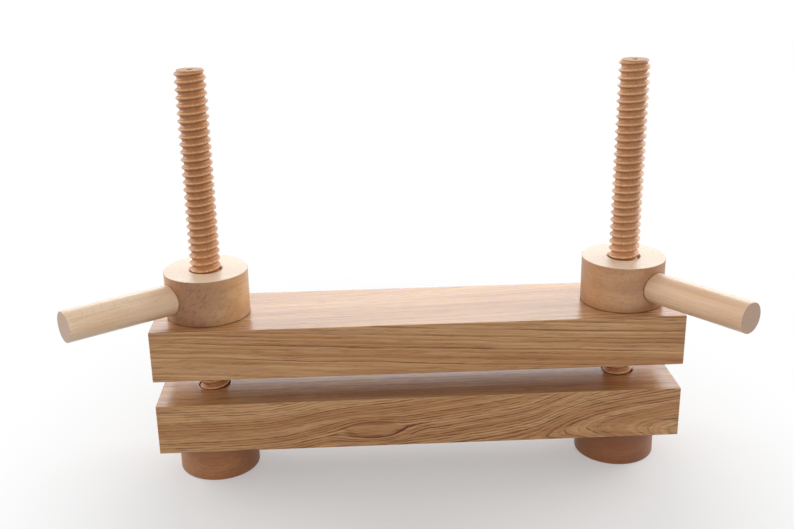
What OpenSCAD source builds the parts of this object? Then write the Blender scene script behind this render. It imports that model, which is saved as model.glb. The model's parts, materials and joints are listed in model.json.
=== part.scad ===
// Two-screw wooden book press, in millimetres, +Z up.
// The origin lies on the floor, midway between the two feet. +X runs to the right along the beams.

/* [Beams] */
// Length of each beam
beam_length = 600; // [440:1:760]
// Depth of each beam from front to back
beam_depth = 117; // [90:1:160]
// Height of each beam
beam_height = 59.5; // [45:0.5:80]
// Easing of the beams' edges
beam_ease = 0.8; // [0.4:0.1:3]
// Opening between the beams as the press stands
rest_gap = 30.5; // [1:0.5:150]

/* [Screws] */
// Distance of each screw's axis from the end of the beams
screw_inset = 60; // [50:1:110]
// Diameter over the thread
screw_d = 34.6; // [28:0.2:42]
// Height of the screws above the lower beam
screw_rise = 368.5; // [220:0.5:500]
// Rise of the thread in one turn
thread_pitch = 8.5; // [6:0.1:12]
// Depth of the thread
thread_depth = 3.2; // [2:0.1:4.5]
// Width of the flat on the thread's crest
thread_crest = 1.2; // [0.6:0.1:2]
// Width of the flat at the thread's root
thread_root = 1.3; // [0.6:0.1:2]
// Bevel on the screws' top ends
screw_bevel = 3; // [1:0.1:4.5]
// Diameter of the turning centre in the screws' top ends
centre_d = 6.8; // [3:0.1:12]
// Depth of the turning centre
centre_depth = 9; // [3:0.5:20]
// Turn of the left screw's thread about its axis, in degrees
left_thread_turn = 180; // [0:1:359]
// Turn of the right screw's thread about its axis, in degrees
right_thread_turn = 131; // [0:1:359]

/* [Screw footings] */
// Depth to which the thread sinks into the lower beam
thread_sink = 14; // [6:0.5:25]
// Step in from the thread's root to the tenon below it
tenon_step = 1.1; // [0.6:0.1:4]
// Diameter of the feet
foot_d = 93.5; // [80:0.5:116]
// Height of the feet
foot_height = 44.5; // [35:0.5:70]
// Rounding of the feet's lower edge
foot_round = 2; // [0.5:0.1:6]
// Wood left under the tenon in the feet
foot_floor = 10; // [6:0.5:16]
// Diameter of the pins that lock the tenons in the feet
screw_pin_d = 10; // [6:0.5:14]
// How far the pins run on past the tenons
screw_pin_past = 14; // [6:0.5:20]
// Diameter of the dowels between the feet and the lower beam
dowel_d = 10; // [6:0.5:12]
// Depth of the dowels in the lower beam and in the feet
dowel_depth = 20; // [10:0.5:28]

/* [Nuts and handles] */
// Diameter of the nuts
nut_d = 95; // [80:0.5:120]
// Height of the nuts
nut_height = 53.5; // [45:0.5:75]
// Width of the bevel at the mouths of the nuts' threads
nut_mouth = 1.4; // [0.6:0.1:4]
// Wood left between the handles and the nuts' threads
socket_wall = 5; // [3:0.5:9]
// Diameter of the handles
handle_d = 35; // [24:0.5:40]
// Length of the handles
handle_length = 146; // [90:1:200]
// Direction of the left handle from the right of the press, in degrees
left_handle_turn = -145; // [-180:1:180]
// Direction of the right handle from the right of the press, in degrees
right_handle_turn = -53; // [-180:1:180]
// Diameter of the pegs that lock the handles in the nuts
handle_pin_d = 8; // [5:0.5:10]
// Wood left over the pegs in the handles
handle_pin_cover = 6; // [3:0.5:10]
// Easing of the edges of the nuts, the handles and the feet's tops
round_ease = 0.8; // [0.4:0.1:3]

/* [Clearances] */
// Gap round the screws where they pass through a beam
beam_clearance = 1.1; // [0.5:0.1:3]
// Gap between the screws' and the nuts' threads, measured from the axis
thread_clearance = 0.65; // [0.5:0.05:1.2]
// Gap round a glued tenon, dowel or pin
glue_gap = 0.05; // [0.02:0.01:0.1]
// Gap at the end of a blind hole
end_gap = 0.3; // [0.1:0.1:1]

/* [Hidden] */

$fn = 96;
// How far a cut runs on past the surface that it opens
over = 1;

// Sides and places along the beams
left = -1;
right = 1;
inner = -1;
outer = 1;
screw_x = beam_length / 2 - screw_inset;

// Heights above the floor
lower_top = foot_height + beam_height;
upper_base = lower_top + rest_gap;
nut_base = upper_base + beam_height;
nut_top = nut_base + nut_height;
screw_top = lower_top + screw_rise;
screw_shoulder = lower_top - thread_sink;
tenon_base = foot_floor + end_gap;
handle_z = nut_base + nut_height / 2;
screw_pin_z = (foot_floor + foot_height) / 2;

// Radii and depths that follow from the sizes above
beam_hole_d = screw_d + 2 * beam_clearance;
tenon_d = screw_d - 2 * thread_depth - 2 * tenon_step;
dowel_circle_r = (tenon_d + foot_d) / 4;
nut_thread_r = screw_d / 2 + thread_clearance;
socket_floor_r = nut_thread_r + socket_wall;
handle_pin_r = (socket_floor_r + nut_d / 2) / 2;
handle_pin_top = handle_z + handle_d / 2 - handle_pin_cover;

// Sides of the turned thread, and its corners as shares of a turn from the crest's lower edge
thread_sides = 20;
crest_share = thread_crest / thread_pitch;
root_share = thread_root / thread_pitch;
flank_share = (1 - crest_share - root_share) / 2;
thread_corners = [0, crest_share, crest_share + flank_share, 1 - flank_share];
corner_count = len(thread_corners);
// Corners closer than this to an end are left to the end's own edge
corner_room = 0.05;

oak = "#c99b62";
oak_dark = "#b98a54";
beech_orange = "#c98a5e";
beech_pink = "#d9ab83";
beech_pale = "#e3c08f";

function thread_turn(side) = side == left ? left_thread_turn : right_thread_turn;
function handle_turn(side) = side == left ? left_handle_turn : right_handle_turn;

// Thread surface, as columns of corners that climb with the helix

// Radius of the thread at a height given in turns
function thread_radius(turns, major_r) =
    let (share = turns - floor(turns))
    share < thread_corners[1] ? major_r
    : share < thread_corners[2] ? major_r - thread_depth * (share - crest_share) / flank_share
    : share < thread_corners[3] ? major_r - thread_depth
    : major_r - thread_depth * (1 - share) / flank_share;

// Height of a numbered corner in a column
function corner_z(n, column) =
    let (turn = floor(n / corner_count))
    thread_pitch * (turn + thread_corners[n - corner_count * turn] + column / thread_sides);

// Numbers of the corners of one column that lie between two heights
function column_corners(column, low, high) =
    let (first = corner_count * floor(low / thread_pitch - column / thread_sides))
    let (last = corner_count * ceil(high / thread_pitch - column / thread_sides))
    [
        for (n = [first : last])
            if (corner_z(n, column) > low + corner_room && corner_z(n, column) < high - corner_room) n
    ];

// One point of the thread, kept under the bevel at its top end
function thread_point(z, column, major_r, high, bevel) =
    let (share = column / thread_sides)
    let (r = min(thread_radius(z / thread_pitch - share, major_r), major_r - bevel + high - z))
    [r * cos(360 * share), r * sin(360 * share), z];

module thread(major_r, low, high, bevel) {
    last_column = thread_sides - 1;
    numbers = [for (c = [0 : last_column]) column_corners(c, low, high)];
    heights = [for (c = [0 : last_column]) [low, for (n = numbers[c]) corner_z(n, c), high]];
    columns = [
        for (c = [0 : last_column])
            [for (z = heights[c]) thread_point(z, c, major_r, high, bevel)]
    ];
    starts = [for (c = 0, s = 0; c <= last_column; s = s + len(columns[c]), c = c + 1) s];
    side_count = starts[last_column] + len(columns[last_column]);
    points = concat([for (column = columns) each column], [[0, 0, low], [0, 0, high]]);

    // The column after the last is the first again, one turn lower in its numbers
    function wrapped(c) = c % thread_sides;
    function lap(c) = c < thread_sides ? 0 : corner_count;
    function lowest(c) = numbers[wrapped(c)][0] - lap(c);
    function highest(c) = lowest(c) + len(numbers[wrapped(c)]) - 1;
    function corner(c, n) = starts[wrapped(c)] + 1 + n - lowest(c);
    function bottom(c) = starts[wrapped(c)];
    function top(c) = starts[wrapped(c)] + len(columns[wrapped(c)]) - 1;

    faces = [
        for (c = [0 : last_column])
            let (d = c + 1)
            each concat(
                [
                    for (n = [lowest(c) : highest(d) - 1])
                        each [
                            [corner(c, n), corner(c, n + 1), corner(d, n + 1)],
                            [corner(c, n), corner(d, n + 1), corner(d, n)]
                        ]
                ],
                [
                    for (n = [lowest(d) : 1 : lowest(c) - 1])
                        [corner(c, lowest(c)), corner(d, n + 1), corner(d, n)]
                ],
                [
                    [corner(c, lowest(c)), corner(d, lowest(d)), bottom(d)],
                    [corner(c, lowest(c)), bottom(d), bottom(c)]
                ],
                [
                    for (n = [highest(d) : 1 : highest(c) - 1])
                        [corner(d, highest(d)), corner(c, n), corner(c, n + 1)]
                ],
                [
                    [corner(d, highest(d)), corner(c, highest(c)), top(c)],
                    [corner(d, highest(d)), top(c), top(d)]
                ],
                [
                    [side_count, bottom(c), bottom(d)],
                    [side_count + 1, top(d), top(c)]
                ]
            )
    ];
    polyhedron(points, faces);
}

// Shapes that repeat

// Rectangle about the origin with bevelled corners
module eased_rectangle(w, h, ease) {
    x = w / 2;
    y = h / 2;
    polygon([
        [-x + ease, -y], [x - ease, -y], [x, -y + ease], [x, y - ease],
        [x - ease, y], [-x + ease, y], [-x, y - ease], [-x, -y + ease]
    ]);
}

// Beam on its base, with every edge eased
module beam_blank() {
    translate([0, 0, beam_height / 2])
        intersection() {
            rotate([90, 0, 0])
                linear_extrude(beam_depth, center = true)
                    eased_rectangle(beam_length, beam_height, beam_ease);
            rotate([90, 0, 90])
                linear_extrude(beam_length, center = true)
                    eased_rectangle(beam_depth, beam_height, beam_ease);
            linear_extrude(beam_height, center = true)
                eased_rectangle(beam_length, beam_depth, beam_ease);
        }
}

// Round blank on its base, with both rims eased
module round_blank(d, h, ease) {
    rotate_extrude()
        polygon([
            [0, 0], [d / 2 - ease, 0], [d / 2, ease],
            [d / 2, h - ease], [d / 2 - ease, h], [0, h]
        ]);
}

// Places a child on a screw's axis, at floor level
module at_screw(side) {
    translate([side * screw_x, 0, 0])
        children();
}

// Turns a child that lies along +X into a handle's direction, at the handle's height
module along_handle(side) {
    at_screw(side)
        translate([0, 0, handle_z])
            rotate([0, 0, handle_turn(side)])
                children();
}

// Pin that locks a tenon, from the back of the foot
module screw_pin_blank(side, extra_r, back_end, front_end) {
    at_screw(side)
        translate([0, -front_end, screw_pin_z])
            rotate([-90, 0, 0])
                cylinder(d = screw_pin_d + 2 * extra_r, h = front_end + back_end);
}

module screw_pin_hole(side) {
    screw_pin_blank(side, glue_gap, foot_d / 2 + over, tenon_d / 2 + screw_pin_past + end_gap);
}

// Dowel that stops a foot from turning, across the joint with the lower beam
module dowel_blank(side, place, extra_r, extra_h) {
    at_screw(side)
        translate([side * place * dowel_circle_r, 0, foot_height - dowel_depth - extra_h])
            cylinder(d = dowel_d + 2 * extra_r, h = 2 * (dowel_depth + extra_h));
}

module dowel_holes(side) {
    for (place = [inner, outer])
        dowel_blank(side, place, glue_gap, end_gap);
}

// Peg that locks a handle, from the underside of the nut
module handle_pin_blank(side, extra_r, low, high) {
    at_screw(side)
        rotate([0, 0, handle_turn(side)])
            translate([handle_pin_r, 0, low])
                cylinder(d = handle_pin_d + 2 * extra_r, h = high - low);
}

// Pieces

module lower_beam() {
    color(oak)
        difference() {
            translate([0, 0, foot_height])
                beam_blank();
            for (side = [left, right]) {
                at_screw(side)
                    translate([0, 0, screw_shoulder])
                        cylinder(d = beam_hole_d, h = thread_sink + over);
                at_screw(side)
                    translate([0, 0, foot_height - over])
                        cylinder(d = tenon_d + 2 * glue_gap, h = beam_height);
                dowel_holes(side);
            }
        }
}

module upper_beam() {
    color(oak_dark)
        difference() {
            translate([0, 0, upper_base])
                beam_blank();
            for (side = [left, right])
                at_screw(side)
                    translate([0, 0, upper_base - over])
                        cylinder(d = beam_hole_d, h = beam_height + 2 * over);
        }
}

module screw(side) {
    color(beech_orange)
        difference() {
            union() {
                at_screw(side)
                    rotate([0, 0, thread_turn(side)])
                        thread(screw_d / 2, screw_shoulder, screw_top, screw_bevel);
                at_screw(side)
                    translate([0, 0, tenon_base])
                        cylinder(d = tenon_d, h = screw_shoulder + thread_sink - tenon_base);
            }
            at_screw(side)
                translate([0, 0, screw_top - centre_depth])
                    cylinder(d = centre_d, h = centre_depth + over);
            screw_pin_hole(side);
        }
}

module foot(side) {
    color(beech_pink)
        difference() {
            at_screw(side)
                rotate_extrude()
                    union() {
                        polygon([
                            [0, 0], [foot_d / 2 - foot_round, 0],
                            [foot_d / 2 - foot_round, foot_round], [foot_d / 2, foot_round],
                            [foot_d / 2, foot_height - round_ease],
                            [foot_d / 2 - round_ease, foot_height], [0, foot_height]
                        ]);
                        intersection() {
                            translate([foot_d / 2 - foot_round, foot_round])
                                circle(foot_round);
                            translate([foot_d / 2 - foot_round, 0])
                                square(foot_round);
                        }
                    }
            at_screw(side)
                translate([0, 0, foot_floor])
                    cylinder(d = tenon_d + 2 * glue_gap, h = foot_height);
            screw_pin_hole(side);
            dowel_holes(side);
        }
}

module screw_pin(side) {
    // The pin's flat end stays just inside the foot's round back
    back_end = sqrt(pow(foot_d / 2, 2) - pow(screw_pin_d / 2, 2)) - end_gap;
    color(beech_pale)
        screw_pin_blank(side, 0, back_end, tenon_d / 2 + screw_pin_past);
}

module dowel(side, place) {
    color(beech_pale)
        dowel_blank(side, place, 0, 0);
}

// Cones that bevel both mouths of a nut's thread, down to inside its root
module nut_mouths() {
    mouth_r = nut_thread_r + nut_mouth;
    depth = nut_mouth + thread_depth + over;
    translate([0, 0, nut_base - over])
        cylinder(r1 = mouth_r + over, r2 = mouth_r - depth, h = depth + over);
    translate([0, 0, nut_top - depth])
        cylinder(r1 = mouth_r - depth, r2 = mouth_r + over, h = depth + over);
}

module nut(side) {
    color(beech_pink)
        difference() {
            at_screw(side)
                translate([0, 0, nut_base])
                    round_blank(nut_d, nut_height, round_ease);
            at_screw(side)
                rotate([0, 0, thread_turn(side)])
                    thread(nut_thread_r, nut_base - over, nut_top + over, 0);
            at_screw(side)
                nut_mouths();
            along_handle(side)
                translate([socket_floor_r, 0, 0])
                    rotate([0, 90, 0])
                        cylinder(d = handle_d + 2 * glue_gap, h = nut_d);
            handle_pin_blank(side, glue_gap, nut_base - over, handle_z);
        }
}

module handle(side) {
    color(beech_pale)
        difference() {
            along_handle(side)
                translate([socket_floor_r + end_gap, 0, 0])
                    rotate([0, 90, 0])
                        round_blank(handle_d, handle_length, round_ease);
            handle_pin_blank(side, glue_gap, nut_base, handle_pin_top + end_gap);
        }
}

module handle_pin(side) {
    color(beech_pale)
        handle_pin_blank(side, 0, nut_base + end_gap, handle_pin_top);
}

lower_beam();
upper_beam();
screw(left);  // left_screw
screw(right);  // right_screw
foot(left);  // left_foot
foot(right);  // right_foot
screw_pin(left);  // left_screw_pin
screw_pin(right);  // right_screw_pin
dowel(left, outer);  // left_outer_dowel
dowel(left, inner);  // left_inner_dowel
dowel(right, inner);  // right_inner_dowel
dowel(right, outer);  // right_outer_dowel
nut(left);  // left_nut
nut(right);  // right_nut
handle(left);  // left_handle
handle(right);  // right_handle
handle_pin(left);  // left_handle_pin
handle_pin(right);  // right_handle_pin
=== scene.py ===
"""Looks of a two-screw wooden press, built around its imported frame."""

import json
import math

import bpy
from mathutils import Matrix, Vector


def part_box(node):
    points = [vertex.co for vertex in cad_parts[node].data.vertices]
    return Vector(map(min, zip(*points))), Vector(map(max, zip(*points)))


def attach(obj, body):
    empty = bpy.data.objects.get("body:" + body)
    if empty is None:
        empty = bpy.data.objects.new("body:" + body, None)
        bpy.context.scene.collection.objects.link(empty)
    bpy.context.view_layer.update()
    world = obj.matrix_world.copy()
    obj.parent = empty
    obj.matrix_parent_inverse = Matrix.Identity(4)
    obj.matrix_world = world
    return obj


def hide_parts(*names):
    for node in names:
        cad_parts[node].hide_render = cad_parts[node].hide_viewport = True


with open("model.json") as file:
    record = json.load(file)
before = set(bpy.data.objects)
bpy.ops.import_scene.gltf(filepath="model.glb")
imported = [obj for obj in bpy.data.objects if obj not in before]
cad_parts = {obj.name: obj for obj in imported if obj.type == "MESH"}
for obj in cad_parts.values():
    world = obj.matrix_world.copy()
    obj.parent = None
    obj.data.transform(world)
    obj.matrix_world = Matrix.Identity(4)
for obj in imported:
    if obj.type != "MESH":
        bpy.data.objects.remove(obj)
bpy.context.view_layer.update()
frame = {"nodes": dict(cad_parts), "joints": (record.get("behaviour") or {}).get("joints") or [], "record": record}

# Millimetres to metres
MM = 0.001

# Threads, as the solids have them
SCREW_R = 17.3 * MM
THREAD_DEPTH = 3.2 * MM
THREAD_CREST = 1.2 * MM
THREAD_ROOT = 1.3 * MM
THREAD_CLEARANCE = 0.65 * MM
THREAD_TURN = {"left": math.radians(180), "right": math.radians(131)}
THREAD_STEPS = 64

# The screws' worn thread from a crest to the middle of a hollow,
# in shares of the pitch and of the depth
THREAD_HOLLOW = [
    (0.0, 0.0),
    (0.05, 0.03),
    (0.1, 0.13),
    (0.15, 0.29),
    (0.2, 0.48),
    (0.27, 0.72),
    (0.35, 0.9),
    (0.43, 1.0),
    (0.5, 1.0),
]
BORE_ROUND = 0.3 * MM
SCREW_BEVEL = 3 * MM
SCREW_TOP_SHORT = 0.005 * MM
CENTRE_HOLE_R = 3.4 * MM
CENTRE_HOLE_DEPTH = 9 * MM
THREAD_SINK = 14 * MM
TENON_R = 13 * MM

# Beams, nuts, handles and feet
BEAM_EASE = 0.8 * MM
BEAM_HOLE_R = 18.4 * MM
HOLE_EASE = 0.5 * MM
NUT_R = 47.5 * MM
NUT_MOUTH = 1.4 * MM
NUT_FOOT_EASE = 1.3 * MM
RIM_EASE = 0.8 * MM
SOCKET_FLOOR_R = 22.95 * MM
SOCKET_EASE = 0.7 * MM
HANDLE_R = 17.5 * MM
HANDLE_LENGTH = 146 * MM
HANDLE_TURN = {"left": math.radians(-145), "right": math.radians(-53)}
HANDLE_PIN_R = 4 * MM
FOOT_R = 46.75 * MM
FOOT_ROUND = 2 * MM
FOOT_FLOOR = 10 * MM
SCREW_PIN_R = 5 * MM
GLUE_GAP = 0.05 * MM
END_GAP = 0.3 * MM

# How far a cutter runs on past the surface that it opens
OVER = 2 * MM

# How near a point lies to a line or a face to count as on it
NEAR = 0.01 * MM
VERY_NEAR = 0.001 * MM
END_NEAR = 0.002 * MM

# Sides of the round pieces and of the small holes
ROUND_SIDES = 128
HOLE_SIDES = 48

# Degrees between two faces up to which they are shaded as one
SMOOTH_TO = 12
THREAD_SMOOTH_TO = 30

SIDES = ("left", "right")

# Camera, fitted to the picture's frame of 794 by 529
CAMERA_PLACE = Vector((-67.95, -1121.55, 637.58)) * MM
CAMERA_YAW = math.radians(2.3415)
CAMERA_PITCH = math.radians(19.2753)
CAMERA_ROLL = math.radians(1.0108)
CAMERA_LENS = 47.045
CAMERA_SENSOR = 36.0

# Light
LIGHT_AROUND = 0.28
LIGHT_FRONT = 1.24
LIGHT_FROM = Vector((-0.2, -0.98, 0))
LIGHT_SIDES = 0.8
WINDOW_PLACE = (0.2, 2.0, 1.15)
WINDOW_TARGET = (0.2, 0, 1.15)
WINDOW_SIZE = (2.3, 0.9)
WINDOW_RADIANCE = 2.7
PANEL_PLACE = {"left": (-1.75, 0.75, 0.95), "right": (1.75, 0.75, 0.95)}
PANEL_TARGET = (0, 0, 0.3)
PANEL_SIZE = (1.4, 1.0)
PANEL_RADIANCE = {"left": 3.7, "right": 4.8}

# Floor: its grey in bounced light and where it is seen, and the oval in which it runs out to white
FLOOR_SIZE = 14
FLOOR_BOUNCE = 0.3
FLOOR_SEEN = 0.93
FLOOR_OVAL = (1.5, 1, 1)
FLOOR_FADE = (0.36, 0.85)
FLOOR_WHITE = 0.28
WHITE = (1, 1, 1, 1)


# Facts read from the frame


def joint_named(name):
    return next(j for j in frame["joints"] if j["name"] == name)


def coupling_of(name):
    return next(c for c in frame["record"]["behaviour"]["couplings"] if c["joint"] == name)


PITCH = coupling_of("platen_slide")["ratio"] * 2 * math.pi
AXIS = {side: Vector(joint_named(side + "_nut_turn")["pos_m"][:2]) for side in SIDES}
LOWER_LOW, LOWER_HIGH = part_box("lower_beam")
UPPER_LOW, UPPER_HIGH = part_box("upper_beam")
NUT_LOW, NUT_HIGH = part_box("left_nut")
SCREW_LOW, SCREW_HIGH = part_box("left_screw")
HANDLE_Z = (NUT_LOW.z + NUT_HIGH.z) / 2
HANDLE_PIN_AT = (SOCKET_FLOOR_R + NUT_R) / 2
SCREW_PIN_Z = (FOOT_FLOOR + LOWER_LOW.z) / 2


def on_axis(side, z):
    """A point on a screw's axis."""
    return Vector((AXIS[side].x, AXIS[side].y, z))


def along_handle(side, distance):
    """A point on a handle's axis, at a distance from its screw's axis."""
    turn = HANDLE_TURN[side]
    return on_axis(side, HANDLE_Z) + distance * Vector((math.cos(turn), math.sin(turn), 0))


# Modelling tools


def deselect():
    bpy.ops.object.select_all(action="DESELECT")


def make_active(piece):
    deselect()
    piece.select_set(True)
    bpy.context.view_layer.objects.active = piece


def settle(piece):
    """Puts the piece's place, turn and scale into its mesh."""
    make_active(piece)
    bpy.ops.object.transform_apply(location=True, rotation=True, scale=True)


def add_round(name, radius, length, place, turn=(0, 0, 0), sides=ROUND_SIDES):
    """A round bar about its own middle, still with its place on the object."""
    deselect()
    bpy.ops.mesh.primitive_cylinder_add(
        vertices=sides, radius=radius, depth=length, location=place, rotation=turn
    )
    piece = bpy.context.object
    piece.name = name
    return piece


def select_points(piece, wanted, mode):
    """Goes to edit mode with the points, edges or faces selected whose points all pass the test."""
    make_active(piece)
    bpy.ops.object.mode_set(mode="EDIT")
    bpy.ops.mesh.select_mode(type=mode)
    bpy.ops.mesh.select_all(action="DESELECT")
    bpy.ops.object.mode_set(mode="OBJECT")
    mesh = piece.data
    passed = [wanted(point.co) for point in mesh.vertices]
    if mode == "VERT":
        mesh.vertices.foreach_set("select", passed)
    else:
        for part in mesh.edges if mode == "EDGE" else mesh.polygons:
            part.select = all(passed[i] for i in part.vertices)
    bpy.ops.object.mode_set(mode="EDIT")


def ease_edges(piece, wanted, width, segments):
    """Bevels the edges that pass the test."""
    select_points(piece, wanted, "EDGE")
    bpy.ops.mesh.bevel(offset=width, segments=segments, affect="EDGES")
    bpy.ops.object.mode_set(mode="OBJECT")


def ease_rim(piece, z, width, segments):
    """Bevels the rim of a round bar at one height of its own frame."""
    ease_edges(piece, lambda co: abs(co.z - z) < VERY_NEAR, width, segments)


def cut(piece, cutter):
    """Cuts one piece by another, which is used up."""
    make_active(piece)
    boolean = piece.modifiers.new("cut", "BOOLEAN")
    boolean.operation = "DIFFERENCE"
    boolean.solver = "EXACT"
    boolean.object = cutter
    bpy.ops.object.modifier_apply(modifier=boolean.name)
    bpy.data.objects.remove(cutter)


def stand_copies(master, name, turns):
    """Stands a copy of a piece on each screw's axis, each with its own mesh."""
    copies = {}
    for side in SIDES:
        make_active(master)
        bpy.ops.object.duplicate()
        piece = bpy.context.object
        piece.name = "beech_" + side + "_" + name
        piece.rotation_euler = (0, 0, turns[side])
        piece.location = on_axis(side, 0)
        settle(piece)
        copies[side] = piece
    bpy.data.objects.remove(master)
    return copies


def dress(piece, node, body, material, smooth_to=SMOOTH_TO):
    """Gives a piece its finish, ties it to its body and lets it stand for its node."""
    make_active(piece)
    bpy.ops.object.shade_smooth_by_angle(angle=math.radians(smooth_to))
    piece.data.materials.clear()
    piece.data.materials.append(material)
    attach(piece, body)
    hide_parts(node)


# Threads, made about the upright axis through the origin


def cut_outline():
    """The straight-sided thread from a crest to a root, in shares of the pitch and of the depth."""
    crest, root = THREAD_CREST / 2 / PITCH, 0.5 - THREAD_ROOT / 2 / PITCH
    return [(0.0, 0.0), (crest, 0.0), (root, 1.0), (0.5, 1.0)]


def add_thread(name, major_r, low, high, outline, round_by=0):
    """A right-hand thread between two heights, closed at both ends."""
    first_turn = math.floor(low / PITCH) - 2
    turns = math.ceil(high / PITCH) - first_turn + 1
    start = PITCH * first_turn + THREAD_CREST / 2
    turn = outline + [(1 - along, depth) for along, depth in outline[-2::-1]]
    points = [
        Vector((major_r - THREAD_DEPTH * depth, 0, start + PITCH * along)) for along, depth in turn
    ]
    deselect()
    bpy.ops.mesh.primitive_plane_add(size=MM, location=points[0])
    piece = bpy.context.object
    piece.name = name
    settle(piece)
    bpy.ops.object.mode_set(mode="EDIT")
    bpy.ops.mesh.select_mode(type="VERT")
    bpy.ops.mesh.select_all(action="SELECT")
    bpy.ops.mesh.merge(type="CENTER")
    for here, there in zip(points, points[1:]):
        bpy.ops.mesh.extrude_region_move(TRANSFORM_OT_translate={"value": there - here})
    bpy.ops.object.mode_set(mode="OBJECT")
    if round_by:
        corners = [p for p in points[1:-1] if p.z != start + PITCH / 2]
        select_points(piece, lambda co: min((co - c).length for c in corners) < NEAR, "VERT")
        bpy.ops.mesh.bevel(offset=round_by, segments=3, affect="VERTICES")
        bpy.ops.object.mode_set(mode="OBJECT")
    screw = piece.modifiers.new("thread", "SCREW")
    screw.axis = "Z"
    screw.angle = 2 * math.pi
    screw.screw_offset = PITCH
    screw.iterations = turns
    screw.steps = screw.render_steps = THREAD_STEPS
    screw.use_merge_vertices = True
    screw.merge_threshold = NEAR
    bpy.ops.object.modifier_apply(modifier=screw.name)
    trim(piece, low, high)
    return piece


def trim(piece, low, high):
    """Cuts a standing piece square at two heights and closes its ends."""
    make_active(piece)
    bpy.ops.object.mode_set(mode="EDIT")
    for height, up in ((low, -1), (high, 1)):
        bpy.ops.mesh.select_all(action="SELECT")
        bpy.ops.mesh.bisect(
            plane_co=(0, 0, height),
            plane_no=(0, 0, up),
            use_fill=True,
            clear_outer=True,
            threshold=VERY_NEAR,
        )
    bpy.ops.mesh.select_all(action="SELECT")
    bpy.ops.mesh.remove_doubles(threshold=NEAR)
    bpy.ops.mesh.normals_make_consistent(inside=False)
    bpy.ops.object.mode_set(mode="OBJECT")


def limit_radius(piece, least, most):
    """Keeps each point's distance from the axis between limits that change with height."""
    for point in piece.data.vertices:
        r = point.co.xy.length
        kept = min(max(r, least(point.co.z)), most(point.co.z))
        point.co.xy *= kept / r


def step_end(piece, z, old_r, new_r, rise):
    """Draws a flat end in to a smaller circle, then pushes that circle up or down."""
    select_points(piece, lambda co: abs(co.z - z) < END_NEAR, "FACE")
    bpy.ops.mesh.extrude_region_move(TRANSFORM_OT_translate={"value": (0, 0, 0)})
    shrink = new_r / old_r
    bpy.ops.transform.resize(value=(shrink, shrink, 1), center_override=(0, 0, z))
    bpy.ops.mesh.extrude_region_move(TRANSFORM_OT_translate={"value": (0, 0, rise)})
    bpy.ops.object.mode_set(mode="OBJECT")


# Pieces


def make_beam(name, low, high):
    deselect()
    bpy.ops.mesh.primitive_cube_add(size=1, location=(low + high) / 2)
    beam = bpy.context.object
    beam.name = name
    beam.scale = high - low
    settle(beam)
    ease_edges(beam, lambda co: True, BEAM_EASE, 3)
    return beam


def ease_hole(beam, side, z):
    """Eases a screw hole's rim where it meets a beam's face."""

    def on_rim(co):
        return abs(co.z - z) < NEAR and abs((co.xy - AXIS[side]).length - BEAM_HOLE_R) < NEAR

    ease_edges(beam, on_rim, HOLE_EASE, 2)


def make_lower_beam():
    beam = make_beam("oak_lower_beam", LOWER_LOW, LOWER_HIGH)
    height = LOWER_HIGH.z - LOWER_LOW.z
    sink = THREAD_SINK + OVER
    for side in SIDES:
        middle = on_axis(side, LOWER_HIGH.z + OVER - sink / 2)
        cut(beam, add_round("sink", BEAM_HOLE_R, sink, middle))
        middle = on_axis(side, LOWER_LOW.z + height / 2 - OVER)
        cut(beam, add_round("hole", TENON_R + GLUE_GAP, height, middle))
        ease_hole(beam, side, LOWER_HIGH.z)
    return beam


def make_upper_beam():
    beam = make_beam("oak_upper_beam", UPPER_LOW, UPPER_HIGH)
    height = UPPER_HIGH.z - UPPER_LOW.z
    for side in SIDES:
        middle = on_axis(side, UPPER_LOW.z + height / 2)
        cut(beam, add_round("hole", BEAM_HOLE_R, height + 2 * OVER, middle))
        ease_hole(beam, side, UPPER_LOW.z)
        ease_hole(beam, side, UPPER_HIGH.z)
    return beam


def make_screws():
    """Two screws alike: a thread with a bevelled top and a centre hole, and a tenon below."""
    shoulder = LOWER_HIGH.z - THREAD_SINK
    top = SCREW_HIGH.z - SCREW_TOP_SHORT
    end_r = SCREW_R - SCREW_BEVEL
    screw = add_thread("screw", SCREW_R, shoulder, top, THREAD_HOLLOW)
    limit_radius(screw, lambda z: 0, lambda z: end_r + top - z)
    step_end(screw, shoulder, SCREW_R - THREAD_DEPTH / 2, TENON_R, SCREW_LOW.z - shoulder)
    step_end(screw, top, end_r, CENTRE_HOLE_R, -CENTRE_HOLE_DEPTH)
    return stand_copies(screw, "screw", THREAD_TURN)


def make_feet():
    """Two feet alike: a round block with a socket for the tenon and a hole for its pin."""
    height = LOWER_LOW.z
    foot = add_round("foot", FOOT_R, height, (0, 0, height / 2))
    ease_rim(foot, -height / 2, FOOT_ROUND, 5)
    ease_rim(foot, height / 2, RIM_EASE, 2)
    settle(foot)
    depth = height - FOOT_FLOOR + OVER
    cut(foot, add_round("socket", TENON_R + GLUE_GAP, depth, (0, 0, FOOT_FLOOR + depth / 2)))
    length = FOOT_R + TENON_R
    middle = (0, length / 2, SCREW_PIN_Z)
    back = (math.pi / 2, 0, 0)
    cut(foot, add_round("pin_hole", SCREW_PIN_R + GLUE_GAP, length, middle, back, HOLE_SIDES))
    return stand_copies(foot, "foot", {side: 0 for side in SIDES})


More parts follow.
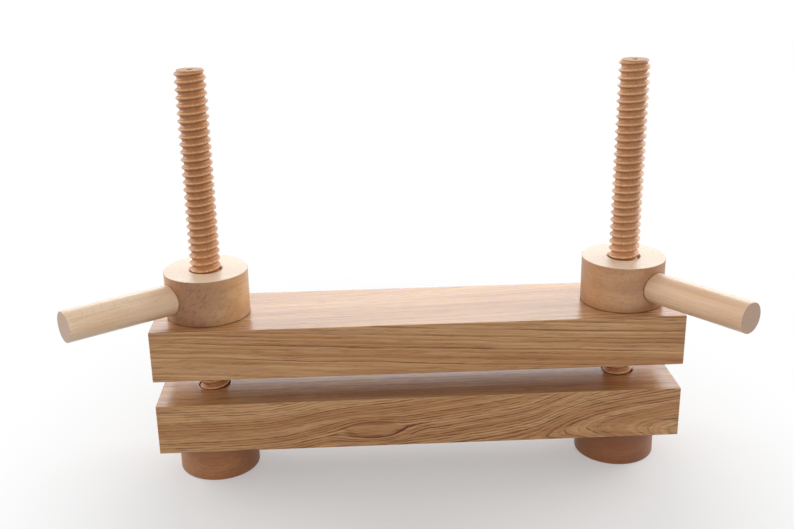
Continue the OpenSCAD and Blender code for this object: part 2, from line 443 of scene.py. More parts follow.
def make_nuts():
    """Two threaded discs alike, each then bored for its own handle."""
    height = NUT_HIGH.z - NUT_LOW.z
    disc = add_round("disc", NUT_R, height, (0, 0, HANDLE_Z))
    ease_rim(disc, -height / 2, NUT_FOOT_EASE, 3)
    ease_rim(disc, height / 2, RIM_EASE, 3)
    settle(disc)
    thread_r = SCREW_R + THREAD_CLEARANCE
    mouth_r = thread_r + NUT_MOUTH
    low, high = NUT_LOW.z - OVER, NUT_HIGH.z + OVER
    bore = add_thread("bore", thread_r, low, high, cut_outline(), BORE_ROUND)

    def mouth(z):
        return mouth_r - min(z - NUT_LOW.z, NUT_HIGH.z - z)

    limit_radius(bore, mouth, lambda z: 2 * mouth_r)
    cut(disc, bore)
    nuts = stand_copies(disc, "nut", THREAD_TURN)
    for side, nut in nuts.items():
        bore_for_handle(nut, side)
    return nuts


def bore_for_handle(nut, side):
    """Cuts the handle's socket, eases its rim and drills the peg's hole from below."""
    turn = (0, math.pi / 2, HANDLE_TURN[side])
    socket_r = HANDLE_R + GLUE_GAP
    middle = along_handle(side, SOCKET_FLOOR_R + NUT_R / 2)
    cut(nut, add_round("socket", socket_r, NUT_R, middle, turn))
    out = along_handle(side, 1) - on_axis(side, HANDLE_Z)

    def on_rim(co):
        from_axis = co - on_axis(side, HANDLE_Z)
        from_handle = (from_axis - out * from_axis.dot(out)).length
        return abs(from_handle - socket_r) < NEAR and from_axis.dot(out) > NUT_R * 0.9

    ease_edges(nut, on_rim, SOCKET_EASE, 1)
    depth = HANDLE_Z - NUT_LOW.z
    middle = along_handle(side, HANDLE_PIN_AT) - Vector((0, 0, depth / 2 + OVER))
    cut(nut, add_round("peg_hole", HANDLE_PIN_R + GLUE_GAP, depth, middle, sides=HOLE_SIDES))


def make_handles():
    """Two handles alike, each turned to its own side."""
    middle = (SOCKET_FLOOR_R + END_GAP + HANDLE_LENGTH / 2, 0, HANDLE_Z)
    handle = add_round("handle", HANDLE_R, HANDLE_LENGTH, middle, (0, math.pi / 2, 0))
    ease_rim(handle, HANDLE_LENGTH / 2, RIM_EASE, 3)
    ease_rim(handle, -HANDLE_LENGTH / 2, RIM_EASE, 3)
    settle(handle)
    return stand_copies(handle, "handle", HANDLE_TURN)


# Material tools

# Over what distance the rings' spacing changes, and by how much
UNEVEN_OVER = 9 * MM
UNEVEN_BY = 3 * MM

WOOD_IOR = 1.5
COAT_ROUGHNESS = 0.42
OAK_BUMP = 0.01 * MM
BEECH_BUMP = 0.03 * MM


def new_material(name):
    material = bpy.data.materials.new(name)
    material.use_nodes = True
    material.node_tree.nodes.clear()
    return material


def add(tree, kind, sockets=None, **settings):
    """Adds a node. Each socket takes a value, or another node's output."""
    node = tree.nodes.new(kind)
    for key, value in settings.items():
        setattr(node, key, value)
    for key, value in (sockets or {}).items():
        if isinstance(value, bpy.types.NodeSocket):
            tree.links.new(value, node.inputs[key])
        else:
            node.inputs[key].default_value = value
    return node


def maths(tree, operation, *values):
    return add(tree, "ShaderNodeMath", dict(enumerate(values)), operation=operation).outputs[0]


def times(tree, first, *others):
    """The product of two or more values."""
    for other in others:
        first = maths(tree, "MULTIPLY", first, other)
    return first


def stretch(tree, vector, scale):
    return add(tree, "ShaderNodeVectorMath", {0: vector, 1: scale}, operation="MULTIPLY").outputs[0]


def noise(tree, place, scale, detail=3.0, roughness=0.55):
    """Noise with so many features a metre along each of three directions."""
    settings = {"Vector": stretch(tree, place, scale), "Scale": 1.0, "Detail": detail}
    settings["Roughness"] = roughness
    return add(tree, "ShaderNodeTexNoise", settings).outputs["Fac"]


def waver(tree, distance, place, *swings):
    """A distance with slow swings to either side, each of a noise scale and so many metres."""
    for scale, size in swings:
        swing = maths(tree, "SUBTRACT", noise(tree, place, scale, 2.0), 0.5)
        distance = maths(tree, "ADD", distance, times(tree, swing, size))
    return distance


def remap(tree, value, low, high, new_low=0.0, new_high=1.0):
    """A smooth step from one pair of values to another."""
    sockets = {"Value": value, "From Min": low, "From Max": high}
    sockets.update({"To Min": new_low, "To Max": new_high})
    node = add(tree, "ShaderNodeMapRange", sockets, interpolation_type="SMOOTHSTEP")
    return node.outputs["Result"]


def bell(tree, value, centre, width):
    """1 at a centre, falling away to either side."""
    off = maths(tree, "DIVIDE", maths(tree, "SUBTRACT", value, centre), width)
    return maths(tree, "EXPONENT", times(tree, off, off, -1.0))


def between(tree, share, first, second):
    """A value between two, by a share."""
    return maths(tree, "MULTIPLY_ADD", maths(tree, "SUBTRACT", second, first), share, first)


def hypot(tree, first, second):
    """The distance that two offsets make, square to each other."""
    square = maths(tree, "MULTIPLY_ADD", first, first, times(tree, second, second))
    return maths(tree, "SQRT", square)


def tint(tree, share, below, above):
    """A colour between two, by a share."""
    node = add(tree, "ShaderNodeMix", {"Factor": share}, data_type="RGBA", clamp_factor=True)
    for key, colour in (("A_Color", below), ("B_Color", above)):
        socket = next(s for s in node.inputs if s.identifier == key)
        if isinstance(colour, bpy.types.NodeSocket):
            tree.links.new(colour, socket)
        else:
            socket.default_value = colour
    return next(s for s in node.outputs if s.identifier == "Result_Color")


def srgb(red, green, blue):
    """A colour given in 0 to 255 as it looks, made linear."""

    def linear(value):
        share = value / 255
        return share / 12.92 if share <= 0.04045 else ((share + 0.055) / 1.055) ** 2.4

    return (linear(red), linear(green), linear(blue), 1.0)


def split(tree, vector):
    node = add(tree, "ShaderNodeSeparateXYZ", {0: vector})
    return node.outputs[0], node.outputs[1], node.outputs[2]


def join(tree, x, y, z):
    return add(tree, "ShaderNodeCombineXYZ", {0: x, 1: y, 2: z}).outputs[0]


def grain_place(tree, turn, centre):
    """A piece's own coordinates, turned and moved to run X along the grain through a centre."""
    shift = -(turn.to_matrix() @ Vector(centre))
    source = add(tree, "ShaderNodeTexCoord").outputs["Object"]
    sockets = {"Vector": source, "Location": shift, "Rotation": turn}
    return add(tree, "ShaderNodeMapping", sockets, vector_type="POINT").outputs[0]


def end_grain(tree, turn):
    """1 where the surface is cut across the grain, 0 where it runs along it."""
    source = add(tree, "ShaderNodeTexCoord").outputs["Normal"]
    sockets = {"Vector": source, "Rotation": turn}
    turned = add(tree, "ShaderNodeMapping", sockets, vector_type="NORMAL").outputs[0]
    return maths(tree, "POWER", maths(tree, "ABSOLUTE", split(tree, turned)[0]), 3.0)


def facing(tree, axis):
    """1 on the faces square to an axis, 0 on the others."""
    part = split(tree, add(tree, "ShaderNodeTexCoord").outputs["Normal"])[axis]
    return remap(tree, maths(tree, "ABSOLUTE", part), 0.5, 0.9)


def ring_distance(tree, place, across, up):
    """Distance from the pith, and the way round it. The pith's place is sockets or numbers."""
    _, y, z = split(tree, place)
    dy = maths(tree, "SUBTRACT", y, across)
    dz = maths(tree, "SUBTRACT", z, up)
    return hypot(tree, dy, dz), maths(tree, "ARCTAN2", dz, dy)


def count_rings(tree, distance, spacing):
    """The number of rings out to a distance, some of them wide and some narrow."""
    sockets = {"W": distance, "Scale": 1 / UNEVEN_OVER, "Detail": 1.0}
    uneven = add(tree, "ShaderNodeTexNoise", sockets, noise_dimensions="1D").outputs["Fac"]
    uneven = maths(tree, "MULTIPLY_ADD", uneven, UNEVEN_BY, distance)
    return maths(tree, "DIVIDE", uneven, spacing)


def one_of(tree, number):
    """A share between 0 and 1 of each whole number's own."""
    node = add(tree, "ShaderNodeTexWhiteNoise", {"W": number}, noise_dimensions="1D")
    return node.outputs["Value"]


def finish_wood(tree, colour, height, roughness, depth, gloss=0.5, coat=0.0):
    bump = add(tree, "ShaderNodeBump", {"Height": height, "Strength": 1.0, "Distance": depth})
    sockets = {"Base Color": colour, "Roughness": roughness, "Normal": bump.outputs[0]}
    sockets.update({"IOR": WOOD_IOR, "Specular IOR Level": gloss})
    sockets.update({"Coat Weight": coat, "Coat Roughness": COAT_ROUGHNESS})
    shader = add(tree, "ShaderNodeBsdfPrincipled", sockets)
    output = add(tree, "ShaderNodeOutputMaterial")
    tree.links.new(shader.outputs[0], output.inputs["Surface"])


# Oak

OAK_LIGHT = srgb(222, 173, 121)
OAK_DEEP = srgb(198, 143, 90)
OAK_PALE = srgb(236, 195, 146)
OAK_STREAK = srgb(166, 108, 60)
OAK_LINE = srgb(122, 58, 14)
OAK_PORE = srgb(98, 44, 8)
OAK_CRACK = srgb(52, 28, 12)

# A slow swing of the rings, with its noise scale and its size
SLOW_SWING = ((3, 25, 25), 6 * MM)

# The upper beam's rings: the pith's place behind the beam, and its fall along it
STRAIGHT_RING = 2.8 * MM
STRAIGHT_PITH_Y = 95 * MM
STRAIGHT_PITH_Z = 70 * MM
STRAIGHT_FALL = -0.05
STRAIGHT_SWINGS = (SLOW_SWING, ((20, 60, 60), 1.2 * MM))
STRAIGHT_BOLD = 0.85

# The lower beam's rings: the pith runs just behind the front and rises from left to right,
# with an arch over a centre and a width, and steps between two places, each with its rise
FIGURED_RING = 3.2 * MM
FIGURED_PITH_Y = -48 * MM
FIGURED_FRONT = (-59 * MM, -5 * MM)
FIGURED_RISE = (-200 * MM, 240 * MM, -2 * MM, 62 * MM)
FIGURED_ARCH = (-95 * MM, 60 * MM)
FIGURED_ARCH_HEIGHT = 8 * MM
FIGURED_STEPS = (
    (-40 * MM, 110 * MM, -8 * MM),
    (110 * MM, 190 * MM, 6 * MM),
    (180 * MM, 340 * MM, -12 * MM),
)
FIGURED_SWINGS = (
    ((5, 22, 22), 4 * MM),
    ((28, 60, 60), 1.8 * MM),
    ((110, 160, 160), 1.7 * MM),
)
FIGURED_BOLD = 0.95
ROUND_EYE = ((-40 * MM, 70 * MM), (64 * MM, 16 * MM), 0.75)
BY_ARCHES = ((170 * MM, 70 * MM), (58 * MM, 18 * MM), 0.25)
ARCHES_FROM = 125 * MM
ARCHES_SLOPE = 0.26
ARCHES_TURN = 40 * MM
EYE_X, EYE_Z = -55 * MM, 65 * MM
EYE_LENGTH, EYE_HEIGHT = 32 * MM, 11 * MM
EYE_RING = 49.4 * MM
PLAIN_PITH = (95 * MM, -20 * MM)

# The crack's height at the right end, how far in it runs and how deep
CRACK_Z = 65 * MM
CRACK_SWING = ((60, 9, 9), 3 * MM)
CRACK_WIDTH = (0.2 * MM, 0.7 * MM)
CRACK_ALONG = (266 * MM, 290 * MM)
CRACK_DEPTH = (-52 * MM, -40 * MM)


def along_rings(tree, way_round):
    """1 where a face lies along the rings, 0 where it cuts them square."""
    _, y, z = split(tree, add(tree, "ShaderNodeTexCoord").outputs["Normal"])
    cosine, sine = maths(tree, "COSINE", way_round), maths(tree, "SINE", way_round)
    return maths(tree, "ABSOLUTE", maths(tree, "MULTIPLY_ADD", y, cosine, times(tree, z, sine)))


def ring_lines(tree, rings, width):
    """A dark line at the start of each ring, some of them bold and some faint."""
    share = maths(tree, "FRACT", rings)
    fall = remap(tree, share, times(tree, width, 0.5), width, 1.0, 0.0)
    bold = remap(tree, one_of(tree, maths(tree, "FLOOR", rings)), 0.0, 1.0, 0.35, 0.9)
    return times(tree, remap(tree, share, 0.0, 0.14), fall, bold)


def make_oak(name, rings_of, width, fine_lines, dash, crack_of=None):
    """Oak with growth rings broken into dashes, and a browner eye and a crack where it has them."""
    material = new_material(name)
    tree = material.node_tree
    place = grain_place(tree, Matrix.Identity(3).to_euler(), (0, 0, 0))
    rings, way_round, bold, eye = rings_of(tree, place)
    along = along_rings(tree, way_round)
    width = remap(tree, along, 0.6, 1.0, width, 0.55 * width)
    x, _, z = split(tree, place)
    layer = join(tree, x, times(tree, rings, 3 * MM), z)
    dashes = remap(tree, noise(tree, layer, (1 / dash, 260, 2.5 / dash)), 0.36, 0.6, 0.4, 1.0)
    closer = maths(tree, "MULTIPLY_ADD", rings, 2.3, 0.4)
    fine = times(tree, ring_lines(tree, closer, width), fine_lines)
    lines = times(tree, maths(tree, "MAXIMUM", ring_lines(tree, rings, width), fine), dashes)
    lines = times(tree, lines, remap(tree, along, 0.8, 1.0, 1.0, 0.8), bold)
    share = maths(tree, "FRACT", rings)
    late = times(tree, remap(tree, share, 0.66, 0.86), remap(tree, share, 0.9, 1.0, 1.0, 0.0))
    if eye is not None:
        late = times(tree, late, maths(tree, "SUBTRACT", 1.0, eye))
    bands = remap(tree, noise(tree, layer, (3, 90, 3), 2.0), 0.38, 0.62)
    streaks = remap(tree, noise(tree, layer, (6, 420, 6), 4.0, 0.65), 0.4, 0.64)
    pores = remap(tree, noise(tree, place, (50, 640, 640), 2.0), 0.52, 0.66)
    holes = times(tree, pores, maths(tree, "MULTIPLY_ADD", lines, 0.5, 0.2))
    bands = times(tree, bands, remap(tree, along, 0.86, 1.0, 1.0, 0.5))
    colour = tint(tree, bands, OAK_LIGHT, OAK_DEEP)
    late = times(tree, late, remap(tree, along, 0.7, 1.0, 0.45, 0.15))
    colour = tint(tree, late, colour, OAK_PALE)
    colour = tint(tree, times(tree, streaks, 0.4), colour, OAK_STREAK)
    if eye is not None:
        fibres = remap(tree, noise(tree, place, (24, 300, 300), 4.0), 0.38, 0.62, 0.45, 1.0)
        colour = tint(tree, times(tree, remap(tree, eye, 0.6, 0.95), fibres), colour, OAK_STREAK)
    colour = tint(tree, lines, colour, OAK_LINE)
    colour = tint(tree, holes, colour, OAK_PORE)
    height = maths(tree, "SUBTRACT", 1.0, maths(tree, "MULTIPLY_ADD", lines, 0.5, holes))
    if crack_of is not None:
        crack = crack_of(tree, place)
        colour = tint(tree, crack, colour, OAK_CRACK)
        height = maths(tree, "SUBTRACT", height, crack)
    roughness = maths(tree, "MULTIPLY_ADD", lines, 0.06, 0.27)
    finish_wood(tree, colour, height, roughness, OAK_BUMP)
    return material


def straight_rings(tree, place):
    """Rings of a straight stem, whose lines fall a little from left to right."""
    x, _, _ = split(tree, place)
    up = maths(tree, "MULTIPLY_ADD", x, STRAIGHT_FALL, STRAIGHT_PITH_Z)
    distance, way_round = ring_distance(tree, place, STRAIGHT_PITH_Y, up)
    distance = waver(tree, distance, place, *STRAIGHT_SWINGS)
    return count_rings(tree, distance, STRAIGHT_RING), way_round, STRAIGHT_BOLD, None


def figured_pith(tree, x):
    """The height of the lower beam's pith, which rises to the right and arches by the eye."""
    arch = times(tree, bell(tree, x, *FIGURED_ARCH), FIGURED_ARCH_HEIGHT)
    up = maths(tree, "ADD", remap(tree, x, *FIGURED_RISE), arch)
    for first, last, rise in FIGURED_STEPS:
        up = maths(tree, "ADD", up, remap(tree, x, first, last, 0.0, rise))
    return up


def figured_taper(tree, x, front):
    """How far the stem draws in towards the right end, which closes the lines to arches."""
    beyond = maths(tree, "MAXIMUM", maths(tree, "SUBTRACT", x, ARCHES_FROM), 0.0)
    turned = maths(tree, "ADD", beyond, ARCHES_TURN)
    slope = maths(tree, "DIVIDE", times(tree, beyond, ARCHES_SLOPE), turned)
    long_side = maths(tree, "SUBTRACT", 1.0, facing(tree, 0))
    return times(tree, slope, beyond, front, long_side)


def figured_eye(tree, x, z, front):
    """Near 1 in the eye, falling to 0 at twice its size."""
    off_x = maths(tree, "DIVIDE", maths(tree, "SUBTRACT", x, EYE_X), EYE_LENGTH)
    off_z = maths(tree, "DIVIDE", maths(tree, "SUBTRACT", z, EYE_Z), EYE_HEIGHT)
    return times(tree, remap(tree, hypot(tree, off_x, off_z), 0.6, 2.0, 0.97, 0.0), front)


def figured_bold(tree, x, z):
    """How dark the lines are, most of all round the eye and by the arches."""
    bold = FIGURED_BOLD
    for along, up, more in (ROUND_EYE, BY_ARCHES):
        spot = times(tree, bell(tree, x, *along), bell(tree, z, *up), more)
        bold = maths(tree, "ADD", bold, spot)
    return bold


def figured_rings(tree, place):
    """Rings that rise from the left, part round an eye and taper to arches at the right.

    The top and the underside keep straight lines, and the ends show round rings.
    """
    x, y, z = split(tree, place)
    front = remap(tree, y, *FIGURED_FRONT, 1.0, 0.0)
    distance, way_round = ring_distance(tree, place, FIGURED_PITH_Y, figured_pith(tree, x))
    distance = maths(tree, "SUBTRACT", distance, figured_taper(tree, x, front))
    distance = waver(tree, distance, place, *FIGURED_SWINGS)
    eye = figured_eye(tree, x, z, front)
    short = times(tree, maths(tree, "SUBTRACT", EYE_RING, distance), eye)
    distance = maths(tree, "ADD", distance, short)
    plain, plain_way = ring_distance(tree, place, *PLAIN_PITH)
    plain = waver(tree, plain, place, SLOW_SWING)
    top = facing(tree, 2)
    rings = count_rings(tree, between(tree, top, distance, plain), FIGURED_RING)
    return rings, between(tree, top, way_round, plain_way), figured_bold(tree, x, z), eye


def end_crack(tree, place):
    """A fine crack that runs in from the right end near the pith."""
    x, y, z = split(tree, place)
    off = waver(tree, maths(tree, "SUBTRACT", z, CRACK_Z), place, CRACK_SWING)
    thin = remap(tree, maths(tree, "ABSOLUTE", off), *CRACK_WIDTH, 1.0, 0.0)
    return times(tree, thin, remap(tree, x, *CRACK_ALONG), remap(tree, y, *CRACK_DEPTH, 1.0, 0.0))


# Beech

BEECH_RING = 2.6 * MM
BEECH_SWING = ((6, 25, 25), 5 * MM)
# The painted shadow seam where a handle leaves its nut: its colour, and the width over which it fades
JOINT_PAINTED_SHADOW = srgb(96, 58, 32)
JOINT_SEAM = (0.3 * MM, 1.3 * MM)
# Painted shade low on the nuts: its colour, the height of the soft darkening, and the height of the painted
# contact shadow line
SEAT_PAINTED_SHADE = srgb(84, 44, 18)
SEAT_SHADE = (0.0, 18 * MM)
SEAT_SHADOW_LINE = (0.4 * MM, 2 * MM)


def paint_joint_shadow(tree, place, colour, radius):
    """A painted shadow: a dark seam where a handle leaves its nut, at a radius from the nut's axis, standing for
    the shade in the gap there.
    """
    x, y, _ = split(tree, place)
    out = maths(tree, "SUBTRACT", hypot(tree, x, y), radius)
    return tint(tree, remap(tree, out, *JOINT_SEAM, 0.8, 0.0), colour, JOINT_PAINTED_SHADOW)


def paint_thread_shade_and_highlight(tree, place, colour, look):
    """Painted shade in the hollows and a painted highlight on the crests of a thread about the grain."""
    _, y, z = split(tree, place)
    out = remap(tree, hypot(tree, y, z), SCREW_R - THREAD_DEPTH, SCREW_R)
    dark, pale = look["thread"]
    colour = tint(tree, remap(tree, out, 0.0, 0.7, dark, 0.0), colour, look["deep"])
    return tint(tree, remap(tree, out, 0.72, 0.98, 0.0, pale), colour, look["painted_crest_highlight"])


def paint_seat_shade(tree, place, colour, drop):
    """Painted shade low on a nut, whose foot lies a drop below its middle: a soft darkening and a dark painted
    contact shadow line.
    """
    up = maths(tree, "ADD", split(tree, place)[2], drop)
    soft = remap(tree, up, *SEAT_SHADE, 0.25, 0.0)
    line = remap(tree, up, *SEAT_SHADOW_LINE, 0.6, 0.0)
    return tint(tree, maths(tree, "ADD", soft, line), colour, SEAT_PAINTED_SHADE)


def make_beech(name, turn, centre, pith, look):
    """Beech with faint rings, lengthwise streaks and short rays, and a duller cut across the grain.

    A look may add a painted shadow seam at a joint, painted shade and a painted highlight on a thread, a painted
    sheen on the turned faces, or painted shade above a seat.
    """
    material = new_material(name)
    tree = material.node_tree
    turn = Matrix(turn).to_euler()
    place = grain_place(tree, turn, centre)
    distance, way_round = ring_distance(tree, place, *pith)
    distance = waver(tree, distance, place, BEECH_SWING)
    share = maths(tree, "FRACT", count_rings(tree, distance, BEECH_RING))
    late = times(tree, remap(tree, share, 0.2, 0.92), remap(tree, share, 0.94, 1.0, 1.0, 0.0))
    cloud = remap(tree, noise(tree, place, (8, 45, 45), 2.0), 0.34, 0.66)
    streaks = remap(tree, noise(tree, place, (14, 420, 420), 4.0), 0.36, 0.68)
    along, _, _ = split(tree, place)
    arc = maths(tree, "MULTIPLY", way_round, math.hypot(*pith))
    ray_place = join(tree, along, distance, arc)
    rays = remap(tree, noise(tree, ray_place, look["ray_scale"], 2.0), 0.48, 0.7)
    ends = end_grain(tree, turn)
    colour = tint(tree, cloud, look["light"], look["dark"])
    # Painted shadow seam at the handle's joint
    if "joint" in look:
        colour = paint_joint_shadow(tree, place, colour, look["joint"])
    # Painted shade in the thread's hollows and a painted highlight on its crests
    if "thread" in look:
        colour = paint_thread_shade_and_highlight(tree, place, colour, look)
    colour = tint(tree, times(tree, late, look["rings"]), colour, look["dark"])
    colour = tint(tree, times(tree, streaks, look["streaks"]), colour, look["deep"])
    colour = tint(tree, times(tree, ends, 0.8), colour, look["end"])
    end_line = look.get("end_line", look["deep"])
    colour = tint(tree, times(tree, late, ends, look["rings"]), colour, end_line)
    # A painted sheen on the faces square to the upright, which stands for the glare on the nuts' tops
    if "painted_top_sheen" in look:
        colour = tint(tree, times(tree, facing(tree, 2), 0.8), colour, look["painted_top_sheen"])
    rays = times(tree, rays, maths(tree, "MULTIPLY_ADD", ends, look["end_rays"], look["rays"]))
    colour = tint(tree, rays, colour, look["deep"])
    # Painted shade above the nut's seat
    if "seat" in look:
        colour = paint_seat_shade(tree, place, colour, look["seat"])
    height = maths(tree, "MULTIPLY_ADD", rays, -0.5, streaks)
    roughness = maths(tree, "MULTIPLY_ADD", ends, 0.15, look["roughness"])
    finish_wood(tree, colour, height, roughness, BEECH_BUMP, look["gloss"], look["coat"])
    return material


FINE_RAYS = (300, 60, 1500)
HATCHED_RAYS = (150, 130, 430)

SCREW_WOOD = {
    "light": srgb(224, 160, 102),
    "dark": srgb(204, 138, 82),
    "deep": srgb(128, 68, 30),
    "end": srgb(200, 146, 100),
    "rings": 0.3,
    "streaks": 0.25,
    "rays": 0.2,
    "end_rays": 0.1,
    "ray_scale": FINE_RAYS,
    "gloss": 0.5,
    "coat": 0.0,
    "roughness": 0.4,
    # Shares of painted shade in the thread's hollows and of painted highlight on its crests, then the highlight's
    # colour
    "thread": (0.5, 0.6),
    "painted_crest_highlight": srgb(246, 204, 158),
}
PALE_SCREW_WOOD = {**SCREW_WOOD, "light": srgb(231, 174, 122), "dark": srgb(212, 152, 102)}
# The feet's beech is written darker than the wood is, as painted shade under the beam's overhang
FOOT_WOOD = {
    "light": srgb(186, 126, 78),
    "dark": srgb(166, 106, 62),
    "deep": srgb(118, 66, 32),
    "end": srgb(160, 102, 60),
    "rings": 0.3,
    "streaks": 0.25,
    "rays": 0.2,
    "end_rays": 0.1,
    "ray_scale": FINE_RAYS,
    "gloss": 0.6,
    "coat": 0.1,
    "roughness": 0.4,
}
# The right foot's copy is darker still, as painted shade
FOOT_WOOD_IN_PAINTED_SHADE = {**FOOT_WOOD, "light": srgb(160, 99, 56), "dark": srgb(140, 82, 44)}
NUT_WOOD = {
    "light": srgb(206, 155, 104),
    "dark": srgb(186, 132, 83),
    "deep": srgb(136, 76, 36),
    "end": srgb(152, 98, 56),
    "rings": 0.2,
    "streaks": 0.18,
    "rays": 0.28,
    "end_rays": 0.15,
    "ray_scale": FINE_RAYS,
    "gloss": 1.0,
    "coat": 0.35,
    "roughness": 0.44,
    # Colour of the painted sheen on the turned top and bottom faces
    "painted_top_sheen": srgb(246, 224, 196),
    # How far below the nut's middle its foot lies, for the painted seat shade
    "seat": HANDLE_Z - NUT_LOW.z,
}
HATCHED_NUT_WOOD = {
    **NUT_WOOD,
    "light": srgb(220, 172, 118),
    "dark": srgb(202, 150, 96),
    "deep": srgb(118, 56, 12),
    "end": srgb(154, 100, 56),
    "rays": 0.1,
    "end_rays": 0.45,
    "ray_scale": HATCHED_RAYS,
}
HANDLE_WOOD = {
    "light": srgb(250, 221, 186),
    "dark": srgb(242, 201, 160),
    "deep": srgb(192, 140, 96),
    "end": srgb(164, 124, 98),
    "end_line": srgb(122, 80, 54),
    "rings": 0.4,
    "streaks": 0.25,
    "rays": 0.22,
    "end_rays": 0.1,
    "ray_scale": FINE_RAYS,
    "gloss": 0.9,
    "coat": 0.8,
    "roughness": 0.4,
    # Where the painted shadow seam at the nut falls
    "joint": NUT_R,
}
# The right handle's copy is browner, partly a tone of its own and partly painted warm light bounced from the beam
WARM_HANDLE_WOOD = {**HANDLE_WOOD, "light": srgb(241, 207, 171), "dark": srgb(232, 187, 145)}

SCREW_LOOK = {"left": SCREW_WOOD, "right": PALE_SCREW_WOOD}
FOOT_LOOK = {"left": FOOT_WOOD, "right": FOOT_WOOD_IN_PAINTED_SHADE}
NUT_LOOK = {"left": HATCHED_NUT_WOOD, "right": NUT_WOOD}
HANDLE_LOOK = {"left": HANDLE_WOOD, "right": WARM_HANDLE_WOOD}

# Where the pith lies beside each piece, and which way the grain runs
SCREW_PITH = (22 * MM, -14 * MM)
FOOT_PITH = (70 * MM, -50 * MM)
NUT_PITH = (-60 * MM, -55 * MM)
HANDLE_PITH = (52 * MM, -12 * MM)
PIN_PITH = (20 * MM, 10 * MM)
GRAIN_UP = Matrix.Rotation(math.pi / 2, 3, "Y")
GRAIN_ALONG = Matrix.Identity(3)
GRAIN_BACK = Matrix.Rotation(math.pi / 2, 3, "Z")
NUT_GRAIN = {"left": math.radians(-110), "right": math.radians(-25)}


# Stage


def seen_directly(tree):
    """1 for what the camera sees, also by reflection or through glass."""
    path = add(tree, "ShaderNodeLightPath").outputs
    seen = maths(tree, "MAXIMUM", path["Is Camera Ray"], path["Is Glossy Ray"])
    return maths(tree, "MAXIMUM", seen, path["Is Transmission Ray"])


def make_floor():
    """A pale floor that keeps the press's shadow and runs out to white."""
    deselect()
    bpy.ops.mesh.primitive_plane_add(size=FLOOR_SIZE, location=(0, 0, 0))
    floor = bpy.context.object
    floor.name = "floor"
    material = new_material("pale_floor")
    tree = material.node_tree
    seen = seen_directly(tree)
    place = add(tree, "ShaderNodeTexCoord").outputs["Object"]
    oval = stretch(tree, place, FLOOR_OVAL)
    away = add(tree, "ShaderNodeVectorMath", {0: oval}, operation="LENGTH").outputs["Value"]
    share = times(tree, remap(tree, away, *FLOOR_FADE, FLOOR_WHITE, 1.0), seen)
    grey = (FLOOR_BOUNCE, FLOOR_BOUNCE, FLOOR_BOUNCE, 1)
    pale = (FLOOR_SEEN, FLOOR_SEEN, FLOOR_SEEN, 1)
    diffuse = add(tree, "ShaderNodeBsdfDiffuse", {"Color": tint(tree, seen, grey, pale)})
    white = add(tree, "ShaderNodeEmission", {"Color": WHITE, "Strength": 1.0})
    mixed = add(tree, "ShaderNodeMixShader", {0: share, 1: diffuse.outputs[0], 2: white.outputs[0]})
    output = add(tree, "ShaderNodeOutputMaterial")
    tree.links.new(mixed.outputs[0], output.inputs["Surface"])
    floor.data.materials.append(material)


def make_world():
    """White where it is seen. Elsewhere a soft light, most of it low in front and at the sides."""
    world = bpy.data.worlds.new("studio")
    bpy.context.scene.world = world
    world.use_nodes = True
    tree = world.node_tree
    tree.nodes.clear()
    way = add(tree, "ShaderNodeTexCoord").outputs["Object"]
    ahead = add(tree, "ShaderNodeVectorMath", {0: way, 1: LIGHT_FROM}, operation="DOT_PRODUCT")
    front = maths(tree, "MAXIMUM", ahead.outputs["Value"], 0.0)
    x, _, z = split(tree, way)
    low = maths(tree, "SUBTRACT", 1.0, maths(tree, "MAXIMUM", z, 0.0))
    level = maths(tree, "MULTIPLY_ADD", front, LIGHT_FRONT, times(tree, x, x, LIGHT_SIDES))
    soft = maths(tree, "MULTIPLY_ADD", level, low, LIGHT_AROUND)
    strength = between(tree, seen_directly(tree), soft, 1.0)
    sky = add(tree, "ShaderNodeBackground", {"Color": WHITE, "Strength": strength})
    output = add(tree, "ShaderNodeOutputWorld")
    tree.links.new(sky.outputs[0], output.inputs["Surface"])


def make_lamp(name, place, target, size, radiance):
    """A soft rectangular lamp that faces its target."""
    light = bpy.data.lights.new(name, "AREA")
    light.shape = "RECTANGLE"
    light.size, light.size_y = size
    light.energy = radiance * math.pi * size[0] * size[1]
    lamp = bpy.data.objects.new(name, light)
    bpy.context.scene.collection.objects.link(lamp)
    lamp.location = place
    lamp.rotation_euler = (Vector(target) - Vector(place)).to_track_quat("-Z", "Y").to_euler()
    lamp.visible_camera = False


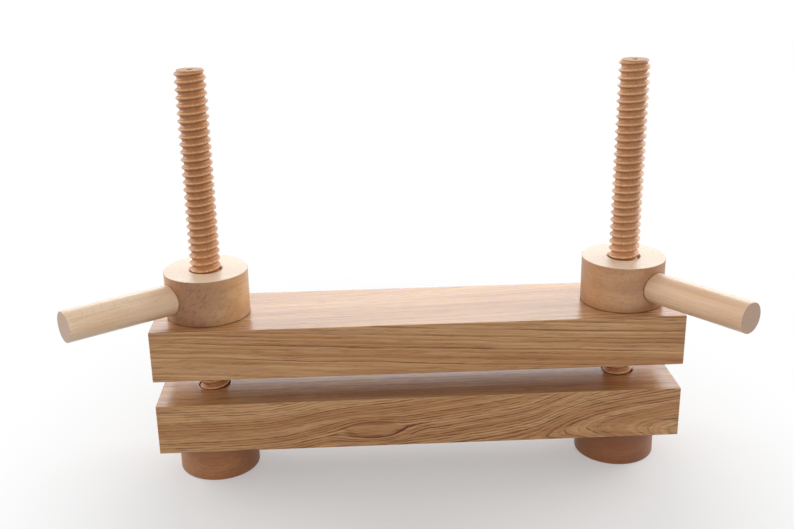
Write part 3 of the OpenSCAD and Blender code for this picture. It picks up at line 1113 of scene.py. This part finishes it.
def make_camera():
    forward = Vector(
        (
            math.sin(CAMERA_YAW) * math.cos(CAMERA_PITCH),
            math.cos(CAMERA_YAW) * math.cos(CAMERA_PITCH),
            -math.sin(CAMERA_PITCH),
        )
    )
    level = Vector((math.cos(CAMERA_YAW), -math.sin(CAMERA_YAW), 0))
    down = forward.cross(level)
    right = level * math.cos(CAMERA_ROLL) + down * math.sin(CAMERA_ROLL)
    up = level * math.sin(CAMERA_ROLL) - down * math.cos(CAMERA_ROLL)
    data = bpy.data.cameras.new("camera")
    data.lens = CAMERA_LENS
    data.sensor_width = CAMERA_SENSOR
    data.sensor_fit = "HORIZONTAL"
    camera = bpy.data.objects.new("camera", data)
    bpy.context.scene.collection.objects.link(camera)
    turn = Matrix((right, up, -forward)).transposed().to_4x4()
    camera.matrix_world = Matrix.Translation(CAMERA_PLACE) @ turn
    bpy.context.scene.camera = camera


make_camera()
make_floor()
make_world()
make_lamp("window", WINDOW_PLACE, WINDOW_TARGET, WINDOW_SIZE, WINDOW_RADIANCE)
for side in SIDES:
    make_lamp(side + "_panel", PANEL_PLACE[side], PANEL_TARGET, PANEL_SIZE, PANEL_RADIANCE[side])
bpy.context.scene.view_settings.view_transform = "Standard"

figured_oak = make_oak(
    "oak_figured", figured_rings, width=0.6, fine_lines=0.6, dash=24 * MM, crack_of=end_crack
)
straight_oak = make_oak("oak_straight", straight_rings, width=0.7, fine_lines=0.4, dash=120 * MM)
dress(make_lower_beam(), "lower_beam", "base", figured_oak)
dress(make_upper_beam(), "upper_beam", "platen", straight_oak)

screws, feet, nuts, handles = make_screws(), make_feet(), make_nuts(), make_handles()
for side in SIDES:
    beech = "beech_" + side
    on_nut = side + "_nut_and_handle"
    stem, middle = on_axis(side, 0), on_axis(side, HANDLE_Z)
    across_nut = Matrix.Rotation(-NUT_GRAIN[side], 3, "Z")
    with_handle = Matrix.Rotation(-HANDLE_TURN[side], 3, "Z")
    wood = make_beech(beech + "_screw", GRAIN_UP, stem, SCREW_PITH, SCREW_LOOK[side])
    dress(screws[side], side + "_screw", "base", wood, THREAD_SMOOTH_TO)
    wood = make_beech(beech + "_foot", GRAIN_ALONG, stem, FOOT_PITH, FOOT_LOOK[side])
    dress(feet[side], side + "_foot", "base", wood)
    wood = make_beech(beech + "_nut", across_nut, middle, NUT_PITH, NUT_LOOK[side])
    dress(nuts[side], side + "_nut", on_nut, wood)
    wood = make_beech(beech + "_handle", with_handle, middle, HANDLE_PITH, HANDLE_LOOK[side])
    dress(handles[side], side + "_handle", on_nut, wood)

# The pins take the nuts' look, with its painted top sheen and painted seat shade
pin_wood = make_beech("beech_pin", GRAIN_BACK, (0, 0, 0), PIN_PITH, NUT_WOOD)
for name, node in frame["nodes"].items():
    if name.endswith(("_pin", "_dowel")):
        node.data.materials.clear()
        node.data.materials.append(pin_wood)
